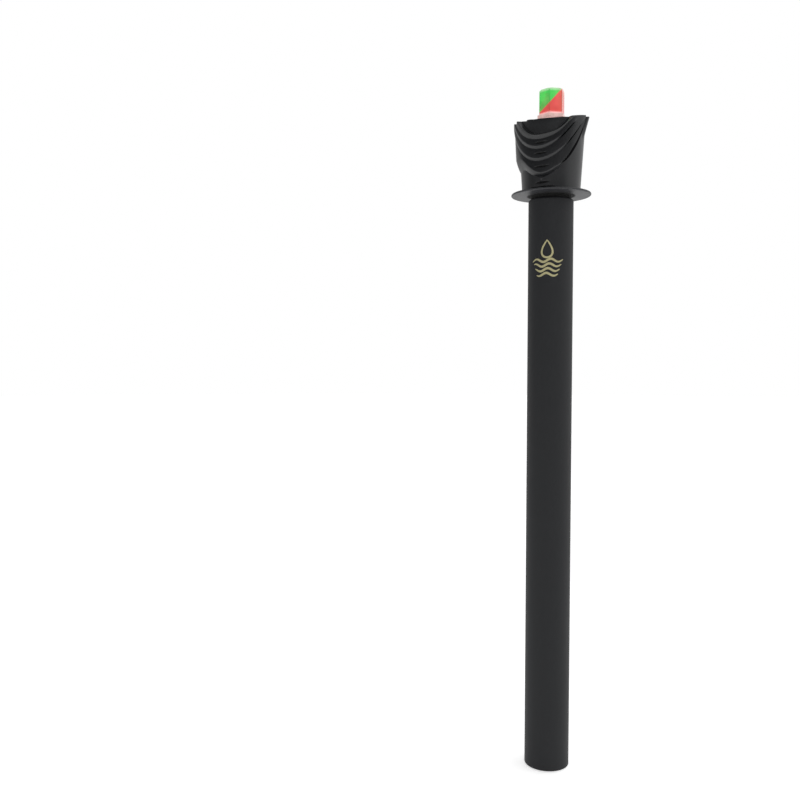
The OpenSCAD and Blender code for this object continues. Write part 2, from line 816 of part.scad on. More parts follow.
module thermal_fuse() {
    top_lead = baffle_t + board_lift + 5;
    low_z = core_top_z - band_inset + touch;
    color("#c9c6bd") translate([lead_x, 0, 0]) {
        translate([0, 0, fuse_top_z - fuse_len]) cylinder(r = fuse_r, h = fuse_len);
        translate([0, 0, low_z]) wire(lead_r, fuse_top_z - fuse_len / 2 - low_z);
        translate([0, 0, fuse_top_z - 1]) wire(lead_r, top_lead + 3);
    }
}

module lead_sleeves() {
    sleeve_t = 0.4;
    color("#efe9d8") translate([0, 0, disc_top_z + touch]) {
        pipe(rod_r + run_fit + sleeve_t, rod_r + run_fit, fuse_space - 2 * touch);
        translate([lead_x, 0, 0])
            pipe(lead_r + run_fit + sleeve_t, lead_r + run_fit, fuse_space - 2 - fuse_len - 2 * touch);
    }
}

// One end disc, its core seat facing up. Both discs are the same piece, one of them turned over.
module end_disc() {
    slot_d = rod_d + 2 * slip;
    difference() {
        cylinder(r = disc_r, h = spacer_t);
        translate([0, 0, spacer_t - core_seat]) cylinder(r = core_r + run_fit, h = core_seat + cut);
        translate([0, 0, -cut]) cylinder(r = rod_r + run_fit, h = spacer_t + 2 * cut);
        translate([lead_x, 0, -cut]) cylinder(r = lead_r + run_fit, h = spacer_t + 2 * cut);
        translate([0, -slot_d / 2, spacer_t - core_seat - slot_d])
            cube([lead_x + slot_d / 2, slot_d, slot_d + core_seat + cut]);
    }
}

module core_discs() {
    color("#f1efe8") {
        translate([0, 0, disc_low_z]) end_disc();
        translate([0, 0, disc_top_z]) mirror([0, 0, 1]) end_disc();
    }
}

module element_core() {
    color("#f1efe8") translate([0, 0, core_z + touch])
        pipe(core_r, rod_r + run_fit, core_len - 2 * touch);
}

module coil_bands() {
    color("#b9bcc0")
        for (z = [core_z + band_inset, core_top_z - band_inset - band_h])
            translate([0, 0, z]) pipe(band_r, band_in, band_h);
}

// A wire of COIL_SIDES flats wound on the core, from one terminal band to the other
COIL_SIDES = 5;
COIL_STEPS = 16;

module heating_coil() {
    winding_r = core_r + run_fit + wire_r;
    low = core_z + band_inset + band_h + wire_r + run_fit;
    high = core_top_z - band_inset - band_h - wire_r - run_fit;
    n = coil_turns * COIL_STEPS;
    slope = atan((high - low) / (2 * PI * winding_r * coil_turns));
    points = [for (i = [0:n], k = [0:COIL_SIDES - 1])
        let (a = 360 * i / COIL_STEPS, b = 360 * k / COIL_SIDES,
             out = winding_r + wire_r * cos(b), side = wire_r * sin(b))
        [out * cos(a) + side * sin(slope) * sin(a),
         out * sin(a) - side * sin(slope) * cos(a),
         low + (high - low) * i / n + side * cos(slope)]];
    walls = [for (i = [0:n - 1], k = [0:COIL_SIDES - 1])
        let (a = i * COIL_SIDES + k, b = i * COIL_SIDES + (k + 1) % COIL_SIDES)
        each [[a, b, b + COIL_SIDES], [a, b + COIL_SIDES, a + COIL_SIDES]]];
    ends = [[for (k = [COIL_SIDES - 1:-1:0]) k], [for (k = [0:COIL_SIDES - 1]) n * COIL_SIDES + k]];
    color("#9a9aa2") polyhedron(points = points, faces = concat(walls, ends));
}

// The rod runs up through the core, and its foot lies in the lower disc and turns up to the band
module return_rod() {
    foot_z = core_z - rod_r - slip / 2;
    color("#8f9299") {
        translate([0, 0, foot_z]) wire(rod_r, board_z + rod_lap - foot_z);
        translate([0, 0, foot_z]) sphere(rod_r);
        translate([0, 0, foot_z]) rotate([0, 90, 0]) wire(rod_r, lead_x);
        translate([lead_x, 0, foot_z]) sphere(rod_r);
        translate([lead_x, 0, foot_z]) wire(lead_r, core_z + band_inset - touch - foot_z);
    }
}

module mica_sleeve() {
    color("#cbb98a") translate([0, 0, disc_low_z]) pipe(sleeve_r, sleeve_in, disc_top_z - disc_low_z);
}

module core_pad() {
    color("#d8d3cb") translate([0, 0, tube_end]) cylinder(r = bore_r - 0.1, h = pad_t);
}

heater_tube();
tube_seals();
flange_collar();
crown_shroud();
head_gasket();
head_plate();
cord_grommet();
gland_nut();
dial_knob();
stem_seals();
stem_clip();
pot_rotor();
pot_body();
pot_cover();
dial_board();
board_screws();
green_lamp();
red_lamp();
link_header();
control_board();
board_carrier();
mains_terminals();
film_capacitor();
smoothing_capacitor();
triac();
controller_chip();
resistors();
temperature_probe();
heat_baffle();
thermal_fuse();
lead_sleeves();
core_discs();
element_core();
coil_bands();
heating_coil();
return_rod();
mica_sleeve();
core_pad();
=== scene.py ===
"""A submersible aquarium heater: black moulded tube, draped crown and a clear lit dial.

Everything is in the heater's own frame: the origin is the centre of the tube's flat end, +Z runs
up to the dial, and the middle of the drape faces -Y. Materials, lamps and the camera are in
metres. The crown and the mark are worked out in millimetres, and in degrees of turn from the
front, which grow to the right.
"""
import math

import bpy
import numpy as np
from mathutils import Matrix, Vector


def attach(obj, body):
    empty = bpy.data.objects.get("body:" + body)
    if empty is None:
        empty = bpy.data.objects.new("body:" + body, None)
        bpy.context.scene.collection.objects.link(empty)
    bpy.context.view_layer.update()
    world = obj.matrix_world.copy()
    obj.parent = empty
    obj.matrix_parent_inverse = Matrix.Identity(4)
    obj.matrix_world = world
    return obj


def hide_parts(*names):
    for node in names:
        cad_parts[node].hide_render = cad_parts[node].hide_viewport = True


MM = 0.001

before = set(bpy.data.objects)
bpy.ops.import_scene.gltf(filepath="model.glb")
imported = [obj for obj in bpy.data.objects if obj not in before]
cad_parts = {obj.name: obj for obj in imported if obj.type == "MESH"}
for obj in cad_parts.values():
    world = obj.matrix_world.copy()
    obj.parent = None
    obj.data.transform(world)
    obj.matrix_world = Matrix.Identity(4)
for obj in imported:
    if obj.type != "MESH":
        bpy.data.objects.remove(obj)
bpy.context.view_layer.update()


# ---------------------------------------------------------------- colours and nodes

def linear(code):
    """The sRGB hex colour as linear RGBA."""
    srgb = [int(code[i:i + 2], 16) / 255 for i in (1, 3, 5)]
    return [c / 12.92 if c <= 0.04045 else ((c + 0.055) / 1.055) ** 2.4 for c in srgb] + [1.0]


def add(tree, kind, inputs=None, **settings):
    """One node with its settings, and with each input set to a value or linked to a socket."""
    node = tree.nodes.new(kind)
    for key, value in settings.items():
        setattr(node, key, value)
    for key, value in (inputs or {}).items():
        if isinstance(value, bpy.types.NodeSocket):
            tree.links.new(value, node.inputs[key])
        else:
            node.inputs[key].default_value = value
    return node


def blank_material(name):
    """An empty node material, and its tree."""
    material = bpy.data.materials.new(name)
    material.use_nodes = True
    material.node_tree.nodes.clear()
    return material, material.node_tree


def ramp(tree, fac, stops):
    """A colour ramp over (position, hex colour) pairs."""
    node = add(tree, "ShaderNodeValToRGB", {"Fac": fac})
    elements = node.color_ramp.elements
    while len(elements) < len(stops):
        elements.new(0.5)
    for element, (position, code) in zip(elements, stops):
        element.position = position
        element.color = linear(code)
    return node.outputs["Color"]


def axis_distance(tree, place):
    """Distance from the heater's axis: the length of (x, y, 0)."""
    flat = add(tree, "ShaderNodeVectorMath", {0: place, 1: (1, 1, 0)}, operation="MULTIPLY").outputs[0]
    return add(tree, "ShaderNodeVectorMath", {0: flat}, operation="LENGTH").outputs["Value"]


# Painted shade on the collar's neck: radii from its side out over the flange's underside, and a
# level between the flange's two faces
NECK_R, NECK_FADE_R, NECK_TOP = 11.6 * MM, 12.6 * MM, 296.5 * MM


def painted_neck_shade(tree, place):
    """Painted shade: 1 on the collar's neck, fading out on the flange's underside."""
    near = add(tree, "ShaderNodeMapRange", {"Value": axis_distance(tree, place), "From Min": NECK_R,
                                            "From Max": NECK_FADE_R, "To Min": 1.0,
                                            "To Max": 0.0}).outputs[0]
    z = add(tree, "ShaderNodeSeparateXYZ", {0: place}).outputs["Z"]
    below = add(tree, "ShaderNodeMath", {0: z, 1: NECK_TOP}, operation="LESS_THAN").outputs[0]
    return add(tree, "ShaderNodeMath", {0: near, 1: below}, operation="MULTIPLY").outputs[0]


def grained(name, dark, light, grain_mm, bump_mm, roughness, cloud_mm=9.0, cloud=0.35, hollow=None,
            **socket_values):
    """A moulded, cast, drawn or plated finish on Object coordinates.

    Two hex colours are mixed by a slow cloud and a fine grain, the grain also raises a bump of
    bump_mm, and the roughness wanders between the two values given. Where hollow is 1 the
    colour is painted shade, nearly black, and dead matt: hollow is "neck" or the name of a piece's
    attribute.
    """
    material, tree = blank_material(name)
    place = add(tree, "ShaderNodeTexCoord").outputs["Object"]
    fine = add(tree, "ShaderNodeTexNoise", {"Vector": place, "Scale": 1 / (grain_mm * MM),
                                            "Detail": 3.0, "Roughness": 0.55}).outputs["Fac"]
    slow = add(tree, "ShaderNodeTexNoise", {"Vector": place, "Scale": 1 / (cloud_mm * MM),
                                            "Detail": 2.0}).outputs["Fac"]
    mixed = add(tree, "ShaderNodeMix", {0: cloud, 2: fine, 3: slow}).outputs[0]
    colour = ramp(tree, mixed, [(0.32, dark), (0.68, light)])
    rough = add(tree, "ShaderNodeMapRange", {"Value": mixed, "From Min": 0.3, "From Max": 0.7,
                                             "To Min": roughness[0], "To Max": roughness[1]}).outputs[0]
    if hollow:
        # Painted shade: near black and dead matt where the mask is 1
        deep = (painted_neck_shade(tree, place) if hollow == "neck" else
                add(tree, "ShaderNodeAttribute", attribute_name=hollow).outputs["Fac"])
        colour = add(tree, "ShaderNodeMix", {0: deep, 6: colour, 7: linear("#060606")},
                     data_type="RGBA").outputs[2]
        rough = add(tree, "ShaderNodeMix", {0: deep, 2: rough, 3: 0.95}).outputs[0]
    bump = add(tree, "ShaderNodeBump", {"Height": fine, "Strength": 1.0,
                                        "Distance": bump_mm * MM}).outputs["Normal"]
    shader = add(tree, "ShaderNodeBsdfPrincipled", {"Base Color": colour, "Roughness": rough,
                                                    "Normal": bump, **socket_values})
    add(tree, "ShaderNodeOutputMaterial", {"Surface": shader.outputs[0]})
    return material


# ---------------------------------------------------------------- materials

# Glass-filled PPS, moulded in a spark-eroded tool: matt black with a fine, even sparkle
PPS_BLACK = grained("pps_spark_textured", "#202123", "#28292b", 0.35, 0.010, (0.55, 0.68),
                    **{"Specular IOR Level": 0.3})
# ABS for the head, moulded in a lightly blasted tool: a softer satin than the tube
ABS_BLACK = grained("abs_satin_moulded", "#1d1e20", "#242527", 0.30, 0.006, (0.30, 0.40))
# The collar is the same ABS, duller, with painted shade on its neck: near black and dead matt
COLLAR_ABS = grained("abs_collar_painted_neck_shade", "#28292c", "#303134", 0.30, 0.006, (0.44, 0.54),
                     hollow="neck")
# The crown's drape: the same ABS, with a slow cloud where the thick folds sank a little, and painted
# shade, near black and dead matt, in its short creases, along its seat line, in its gap and slits
CROWN_ABS = grained("abs_draped_crown", "#1a1b1d", "#222325", 0.30, 0.006, (0.30, 0.40), cloud=0.5,
                    hollow="painted_shade")
# Painted shade over the real depth of the drape's slits and gap: the same ABS, near black, matt and nearly
# without gloss
SLIT_SHADE_ABS = grained("abs_slit_painted_shade", "#08080a", "#0c0c0e", 0.30, 0.006, (0.80, 0.92),
                     **{"Specular IOR Level": 0.06})
# EPDM, compression moulded: dead black and slightly bloomed
EPDM_RUBBER = grained("epdm_seal_rubber", "#141414", "#1d1d1c", 0.5, 0.010, (0.62, 0.80))
# Silicone, cast: translucent off-white that looks waxy
SILICONE = grained("silicone_cast", "#c9c4bb", "#dbd7cf", 1.2, 0.010, (0.45, 0.60),
                   **{"Subsurface Weight": 0.2, "Subsurface Radius": (0.002, 0.002, 0.0015)})
# Steatite, pressed and fired: chalky white with a dry grain
STEATITE = grained("steatite_fired", "#e2dfd6", "#f1efe8", 0.6, 0.015, (0.70, 0.85))
# Mica paper, wound and bonded: brown-gold flakes with a pearly sheen
MICA = grained("mica_paper_wound", "#a8915f", "#d2c08f", 1.5, 0.010, (0.30, 0.50))
# Glass-fibre sleeving, woven: cream, with the weave's fine cross grain
GLASS_SLEEVING = grained("glass_fibre_woven", "#d8cfba", "#f0eadb", 0.4, 0.030, (0.75, 0.90))
# FR4 board with solder mask: glossy green over a faint weave
SOLDER_MASK = grained("fr4_solder_masked", "#17512d", "#1f6b3a", 0.8, 0.004, (0.22, 0.34))
# Spring steel, rolled bright
SPRING_STEEL = grained("spring_steel_rolled", "#9a9ca0", "#c2c4c8", 0.5, 0.003, (0.22, 0.36), Metallic=1.0)
# Steel, nickel-plated in a barrel: softly bright
NICKEL_PLATE = grained("steel_nickel_plated", "#a3a5a8", "#c8cacd", 0.6, 0.003, (0.18, 0.30), Metallic=1.0)
# Nickel-chrome wire, drawn and darkened by heat
NICHROME = grained("nichrome_drawn_wire", "#66625f", "#8f8c8a", 0.5, 0.004, (0.32, 0.48), Metallic=1.0)
# Brass pins, gold-flashed: thin bright yellow
GOLD_PINS = grained("brass_gold_flashed", "#b08d35", "#d6b65e", 0.5, 0.002, (0.20, 0.32), Metallic=1.0)
# Nylon, moulded in its natural ivory
NYLON = grained("nylon_moulded_natural", "#d6d0be", "#e6e2d4", 0.7, 0.006, (0.45, 0.60))
# Phenolic, compression moulded: grey with a mineral filler
PHENOLIC = grained("phenolic_moulded_grey", "#33373d", "#454a51", 0.6, 0.008, (0.45, 0.60))
# Epoxy, transfer moulded round the chips: dull black
EPOXY_BLACK = grained("epoxy_transfer_moulded", "#18181a", "#232325", 0.4, 0.006, (0.40, 0.55))
# Polyester film capacitor in its dipped yellow case: glossy
YELLOW_CASE = grained("polyester_case_yellow", "#b48f20", "#d2ac33", 1.0, 0.010, (0.25, 0.40))
# PVC sleeve, shrunk on the capacitor's aluminium can: a tight blue gloss
BLUE_SLEEVE = grained("pvc_shrink_sleeve_blue", "#26345c", "#344680", 1.0, 0.006, (0.25, 0.38))
# Resistor body, dipped in tan lacquer: a slightly uneven coat
TAN_LACQUER = grained("resistor_tan_lacquer", "#b3a077", "#d2c298", 0.8, 0.010, (0.35, 0.50))
# Brass case of the thermal fuse, tinned: greyish white metal
TINNED_CASE = grained("brass_case_tinned", "#b3b1a9", "#d2d0c8", 0.7, 0.004, (0.28, 0.42), Metallic=1.0)
# Gold ink, pad-printed: more pigment than metal, with a weak glint
GOLD_PRINT = grained("ink_gold_pad_printed", "#b8b184", "#cdc598", 0.5, 0.002, (0.40, 0.52), Metallic=0.25)


def lens(name, code):
    """Tinted epoxy lens of a lamp, cast: coloured, glossy and lit from inside."""
    material, tree = blank_material(name)
    place = add(tree, "ShaderNodeTexCoord").outputs["Object"]
    cloud = add(tree, "ShaderNodeTexNoise", {"Vector": place, "Scale": 1 / (2 * MM)}).outputs["Fac"]
    colour = ramp(tree, cloud, [(0.2, code), (0.9, "#ffffff")])
    shader = add(tree, "ShaderNodeBsdfPrincipled",
                 {"Base Color": colour, "Roughness": 0.12, "IOR": 1.53,
                  "Emission Color": linear(code), "Emission Strength": 1.0})
    add(tree, "ShaderNodeOutputMaterial", {"Surface": shader.outputs[0]})
    return material


GREEN_LENS = lens("epoxy_lens_green", "#5ce36a")
RED_LENS = lens("epoxy_lens_red", "#f0625f")

# The dial's green half meets the red one on a slanted plane: its unit normal, and the distances
# along that between which the colour changes
HALVES_NORMAL, GREEN_ENDS, RED_BEGINS = (0.59534, 0.43850, -0.67327), -233.07 * MM, -232.47 * MM
# Heights where the painted glow's core begins to fade in over the foot and to fade out under the flat top
CORE_FOOT, CORE_TOP, CORE_FADE = 337.4 * MM, 348.4 * MM, 1.0 * MM
# Distances from the axis between which painted shade darkens the dial's six corners
CORNER_R, CORNER_SHADE_R = 6.35 * MM, 6.7 * MM


def lit_dial():
    """Polycarbonate, moulded clear and polished, lit through its stem as a painted glow: green and red
    halves.

    The painted glow's core ends short of the flat top and of the foot, which are painted pale as a
    highlight, and the six corners are painted darker as shade. The foot passes less light through and
    spreads more of the painted glow.
    """
    material, tree = blank_material("polycarbonate_clear_lit")
    place = add(tree, "ShaderNodeTexCoord").outputs["Object"]
    off = add(tree, "ShaderNodeVectorMath", {0: place, 1: HALVES_NORMAL},
              operation="DOT_PRODUCT").outputs["Value"]
    side = add(tree, "ShaderNodeMapRange", {"Value": off, "From Min": GREEN_ENDS,
                                            "From Max": RED_BEGINS}).outputs[0]
    haze = add(tree, "ShaderNodeTexNoise", {"Vector": place, "Scale": 1 / (5 * MM),
                                            "Detail": 1.0}).outputs["Fac"]
    green = ramp(tree, haze, [(0.35, "#56d866"), (0.65, "#66ec72")])
    red = ramp(tree, haze, [(0.35, "#e55f5b"), (0.65, "#f26b68")])
    core = add(tree, "ShaderNodeMix", {0: side, 6: green, 7: red}, data_type="RGBA").outputs[2]
    z = add(tree, "ShaderNodeSeparateXYZ", {0: place}).outputs["Z"]
    # Painted highlight: the colour goes towards near white under the flat top and over the foot
    top = add(tree, "ShaderNodeMapRange", {"Value": z, "From Min": CORE_TOP,
                                           "From Max": CORE_TOP + CORE_FADE,
                                           "To Min": 0.0, "To Max": 0.45}).outputs[0]
    foot = {"Value": z, "From Min": CORE_FOOT, "From Max": CORE_FOOT + CORE_FADE}
    white = add(tree, "ShaderNodeMapRange", {**foot, "To Min": 0.60, "To Max": 0.0}).outputs[0]
    clear = add(tree, "ShaderNodeMapRange", {**foot, "To Min": 0.06, "To Max": 0.30}).outputs[0]
    # Painted glow: the emission stands in for the lamps' light, stronger at the foot
    glow = add(tree, "ShaderNodeMapRange", {**foot, "To Min": 0.50, "To Max": 0.25}).outputs[0]
    painted_white = add(tree, "ShaderNodeMath", {0: top, 1: white}, operation="MAXIMUM").outputs[0]
    colour = add(tree, "ShaderNodeMix", {0: painted_white, 6: core, 7: linear("#fff6f4")},
                 data_type="RGBA").outputs[2]
    # Painted shade at the six corners
    corner_shade = add(tree, "ShaderNodeMapRange", {"Value": axis_distance(tree, place), "From Min": CORNER_R,
                                              "From Max": CORNER_SHADE_R, "To Min": 0.0,
                                              "To Max": 0.30}).outputs[0]
    colour = add(tree, "ShaderNodeMix", {0: corner_shade, 6: colour, 7: linear("#2e5a34")},
                 data_type="RGBA").outputs[2]
    shader = add(tree, "ShaderNodeBsdfPrincipled", {
        "Base Color": colour, "Roughness": 0.10, "IOR": 1.58, "Transmission Weight": clear,
        "Emission Color": colour, "Emission Strength": glow})
    add(tree, "ShaderNodeOutputMaterial", {"Surface": shader.outputs[0]})
    return material


FINISH = {
    "heater_tube": PPS_BLACK, "flange_collar": COLLAR_ABS, "crown_shroud": CROWN_ABS,
    "head_plate": ABS_BLACK, "gland_nut": ABS_BLACK, "dial_knob": lit_dial(),
    "tube_seals": EPDM_RUBBER, "head_gasket": EPDM_RUBBER, "cord_grommet": EPDM_RUBBER,
    "stem_seals": EPDM_RUBBER, "stem_clip": SPRING_STEEL, "pot_cover": SPRING_STEEL,
    "board_screws": SPRING_STEEL, "pot_rotor": NYLON, "board_carrier": NYLON, "pot_body": PHENOLIC,
    "dial_board": SOLDER_MASK, "control_board": SOLDER_MASK, "green_lamp": GREEN_LENS,
    "red_lamp": RED_LENS, "link_header": GOLD_PINS, "mains_terminals": NICKEL_PLATE,
    "film_capacitor": YELLOW_CASE, "smoothing_capacitor": BLUE_SLEEVE, "triac": EPOXY_BLACK,
    "controller_chip": EPOXY_BLACK, "resistors": TAN_LACQUER, "temperature_probe": EPOXY_BLACK,
    "heat_baffle": SILICONE, "thermal_fuse": TINNED_CASE, "lead_sleeves": GLASS_SLEEVING,
    "core_discs": STEATITE, "element_core": STEATITE, "coil_bands": NICKEL_PLATE,
    "heating_coil": NICHROME, "return_rod": NICHROME, "mica_sleeve": MICA, "core_pad": SILICONE,
}
for node_name, finish in FINISH.items():
    for material_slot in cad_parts[node_name].material_slots:
        material_slot.material = finish


# ---------------------------------------------------------------- meshes

SHARP_EDGE = math.radians(35.0)


def piece(name, points, faces, material, body):
    """A mesh piece from (n, 3) points in millimetres and (m, 4) faces, which rides on body.

    It is smooth except along edges that turn by more than SHARP_EDGE.
    """
    mesh = bpy.data.meshes.new(name)
    mesh.from_pydata((points * MM).tolist(), [], faces.tolist())
    mesh.materials.append(material)
    mesh.polygons.foreach_set("use_smooth", np.ones(len(mesh.polygons), bool))
    mesh.set_sharp_from_angle(angle=SHARP_EDGE)
    mesh.validate()
    obj = bpy.data.objects.new(name, mesh)
    bpy.context.scene.collection.objects.link(obj)
    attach(obj, body)
    return obj


def closed_grid(rows, columns):
    """Quads of a grid that closes on itself both ways, its points numbered row by row."""
    r, c = np.meshgrid(np.arange(rows), np.arange(columns), indexing="ij")
    right, down = (c + 1) % columns, (r + 1) % rows
    return np.stack([r * columns + c, r * columns + right, down * columns + right,
                     down * columns + c], -1).reshape(-1, 4)


def smooth(low, high, x):
    """0 below low, 1 above high, and 3 s^2 - 2 s^3 between."""
    share = np.clip((x - low) / (high - low), 0, 1)
    return share * share * (3 - 2 * share)


def bell(x):
    """A raised cosine: 1 at 0, and 0 from -1 down and from 1 up."""
    return np.where(np.abs(x) < 1, 0.5 + 0.5 * np.cos(np.pi * x), 0)


# ---------------------------------------------------------------- crown

# Heights are above the flange's underside. The folds lie on slanted planes, and a level is the
# height that such a plane has at the front.
FLANGE_Z, FLANGE_T = 296.3, 1.1                # the flange's underside and its thickness
CROWN_H, RIM_RISE, WING = 34.2, 4.1, 101.0     # rim in front, its climb, and the wings' turn
PLAIN_FOOT_R, TAPER = 14.72, 0.065             # plain cone: radius at its foot, growth per mm
DRAPE_T, DRAPE_FLARE = 1.8, 0.013              # drape on it: thickness at its foot, growth per mm
FOLD_RISE = 27.0                               # climb of the folds' planes from the front to a side
DRAPE_R = 17.0                                 # mean radius of the drape
# Inside: radii at the foot, at the ledge and above it, the ledge's height and the draft above it
FOOT_IN, LEDGE_IN, RIM_IN, H_LEDGE, RIM_DRAFT = 13.67, 14.17, 15.1155, 31.78, 0.2
RIM_SOFT, RIM_SOFT_IN = 0.3, 0.25              # radii of the rim's outer and inner corner

# The four lips from the lowest up: level of the slope's lower edge, how far that dips to the right,
# and the slope's height
LIPS, LIP_DIP = np.array([6.9, 14.8, 20.7, 25.4]), np.array([0, 0.5, 0, 1.3])
LIP_H = np.array([1.8, 1.25, 1.25, 1.9])
# Turns between which a slope is shut into a dark slit. The top lip's lie past the last turn, so
# it stays open.
SLIT_FROM, SLIT_TO = np.array([42, 50, 37, 300]), np.array([92, 70, 57, 320])
LIP_ROUND = 1.25                               # power that rounds a slope
LIP_WIDEST, LIP_SWELL = 1.6, 0.5               # on the left: most that a slope widens, and its swell
LIP_NARROWS, TOP_LIP_NARROWS = 0.4, 0.3        # on the right: what a slope loses of its height
SCOOP_H = 0.8                                  # height of the step over the top lip
# Hollows between the lips: depth in front, and the share that they lose at the left and the right
FOLD_DEPTH, LEFT_SHALLOWS, RIGHT_SHALLOWS = 0.9, 0.9, 0.6
SLIT_DEPTH, SLIT_SOFT = 1.5, 0.35              # of a slit, and how far it reaches past its slope
SLIT_MIDDLE, SLIT_DARK = 0.4, 1.6              # where on the slope it is, and how soon its painted shade is full
# On the left the lowest fold hangs as a broad roll, up to the turn ROLL_TO: turn, rise of its
# lower edge and level of its top
ROLL_TO = 5
ROLL = np.array([[-101, 0, 10], [-94, -8, 8], [-86, -14.5, 2.5], [-78, -15.8, -1], [-69, -12, 1],
                 [-60, -8.5, 5], [-50, -4.5, 9], [-43, -1.8, 11.2], [-37, 0, 12.3], [-29, 0.8, 12.4],
                 [-21, 0.6, 11.6], [-12, 0.5, 10.5], [-6, 0.4, 9.6], [0, 0.3, 9], [10, 0, 8.7]])
# The lowest lip climbs away from its plane towards the right wing, over a gap that widens there:
# turn, rise of the lip and level of the gap's lower edge
GAP = np.array([[30, 0, 6.7], [38, 0, 6.5], [44, 0, 6.3], [51, 0.5, 6.0], [55, 1.0, 5.7],
                [61, 1.5, 5.4], [66, 2.0, 5.2], [70, 2.6, 5.1], [74, 3.5, 5.0], [77, 4.4, 5.0],
                [80, 5.5, 5.0], [91, 7.8, 4.8], [101, 9, 4.8]])
GAP_DEPTH, GAP_DEEPENS = 1.3, 0.05             # its depth, and growth per mm from 12 to 24 mm up
GAP_SHUTS, GAP_SHUT, GAP_ENDS = 31, 37, 34.5   # heights where its edges close and its depth ends
# The drape hangs down at each wing as a flap: its turns, the height where it begins to thicken, and
# how far above that it is at its thickest
FLAP_FROM, FLAP_FULL, FLAP_WANES, FLAP_TO, FLAP_H, FLAP_GROWS = 86, 93, 96, 103, 27, 11
# The mould's gate left a nib under the lowest lip: middle and half size in turn and in height, and
# how far it stands out
NIB_TURN, NIB_H, NIB_OUT = (1.7, 1.6), (6.5, 0.9), 0.4

# Turn in degrees and how far the rim stands off its plain climb there, with a nick where a fold ends
NICKS = np.array([[-101, -0.5], [-70, -0.1], [-60, -0.2], [-50, -0.6], [-46.5, -0.75], [-45, 0.45],
                  [-40, 0.6], [-30, 0.3], [-27, 0.2], [-25, 0.75], [-20, 0.75], [-10, 0.45], [0, 0.4],
                  [20, 0.2], [40, 0], [50, -0.25], [70, -0.1], [81.5, -0.1], [83, -0.65], [90, -0.65],
                  [101, -0.55]])
# Creases between the folds in front: height, and the turn of the middle and the half width
CREASES = [(23.6, 3.5, 11.0), (18.4, 2.5, 11.0), (12.0, 4.5, 14.0), (4.5, 3.5, 14.5)]
CREASE_H, CREASE_DEPTH = 0.55, 1.0             # half height and depth of a crease
# The line where the crown is seated on the flange: height, half height and depth
SEAT_H, SEAT_HALF, SEAT_DEPTH = 2.3, 0.5, 0.4

# Rows of the mesh up the outside, as shares of the way from one edge to the next. A slope has
# more of them at its lower edge, where it is roundest.
SLOPE_ROWS = np.array([0, 0.02, 0.06, 0.12, 0.2, 0.3, 0.42, 0.56, 0.72, 0.86])
FOOT_ROWS, RIM_ROWS = np.append(0, np.linspace(0.2, 1, 28)[:-1]), np.array([0, 0.3, 0.65, 1])
EDGE_ROWS, UNDER_ROWS = 6, 4                   # across the gap's lower edge, and up to the lowest lip
HOLLOW_ROWS = (29, 25, 17, 8)                  # over each lip's slope, the last on the top edge's step
GAP_SOFT, GAP_UNDER = 0.4, 0.5                 # the gap's edge each way, and its least way to the lip
ROW_STEP = 0.003                               # least height from one row to the next
TURN_STEP, DRAPE_STEP, DRAPE_TO = 2.5, 0.6, 108  # between columns, and closer up to a turn
CAVITY_FROM = 0.6                              # painted shade from which a face takes the slits' near-black material


def rim_height(turn):
    """Rim height at turn degrees from the front: a climb as 1 - cos up to the wings, with nicks."""
    side = np.minimum(np.abs(turn), WING)
    climb = (1 - np.cos(np.radians(side))) / (1 - math.cos(math.radians(WING)))
    return FLANGE_T + CROWN_H + RIM_RISE * climb + np.interp(turn, NICKS[:, 0], NICKS[:, 1], period=360)


def lips(turn):
    """Each lip's lower edge, the height of its slope, how far that is shut, and the gap's lower edge.

    There is one row for each turn, in levels. On the left a slope keeps its thickness across the
    slanted fold, so that its height goes with hypot(1, the plane's slope), and it swells by half.
    On the right it narrows before it shuts. The roll's edges are averaged over 5 degrees each
    way, which rounds their corners. The gap is a spindle: at its ends its lower edge closes up to
    the top of the lowest lip's slope.
    """
    t = turn[:, None]
    low = LIPS - LIP_DIP * smooth(5, 40, t)
    drop, top = (np.mean([np.interp(turn + step, ROLL[:, 0], ROLL[:, i])
                          for step in (-5, -2.5, 0, 2.5, 5)], 0) for i in (1, 2))
    low[:, 0] += np.interp(turn, GAP[:, 0], GAP[:, 1]) + drop
    steep = FOLD_RISE * np.sin(np.radians(t)) / DRAPE_R
    wide = np.where(t < 0, np.minimum(np.hypot(1, steep), LIP_WIDEST), 1)
    narrow = np.where(SLIT_FROM < 180, LIP_NARROWS * smooth(SLIT_FROM - 20, SLIT_FROM + 2, t),
                      TOP_LIP_NARROWS * smooth(0, 45, t))
    shut = smooth(SLIT_FROM - 9, SLIT_FROM + 9, t) * (1 - smooth(SLIT_TO - 6, SLIT_TO + 4, t))
    tall = LIP_H * wide * (1 - narrow)
    swell = LIP_SWELL * tall[:, 1:] * smooth(5, 35, -t)
    low[:, 1:] -= swell / 2
    tall[:, 1:] += swell
    tall[:, 0] = np.where(turn < ROLL_TO, top - low[:, 0], tall[:, 0])
    edge = np.interp(turn, GAP[:, 0], GAP[:, 2])[:, None]
    rise = FOLD_RISE * (1 - np.cos(np.radians(t)))
    open_to = shut[:, :1] * (1 - smooth(GAP_SHUTS, GAP_SHUT, edge + rise))
    return low, tall, shut, edge + (1 - open_to) * (low + tall - edge)[:, :1]


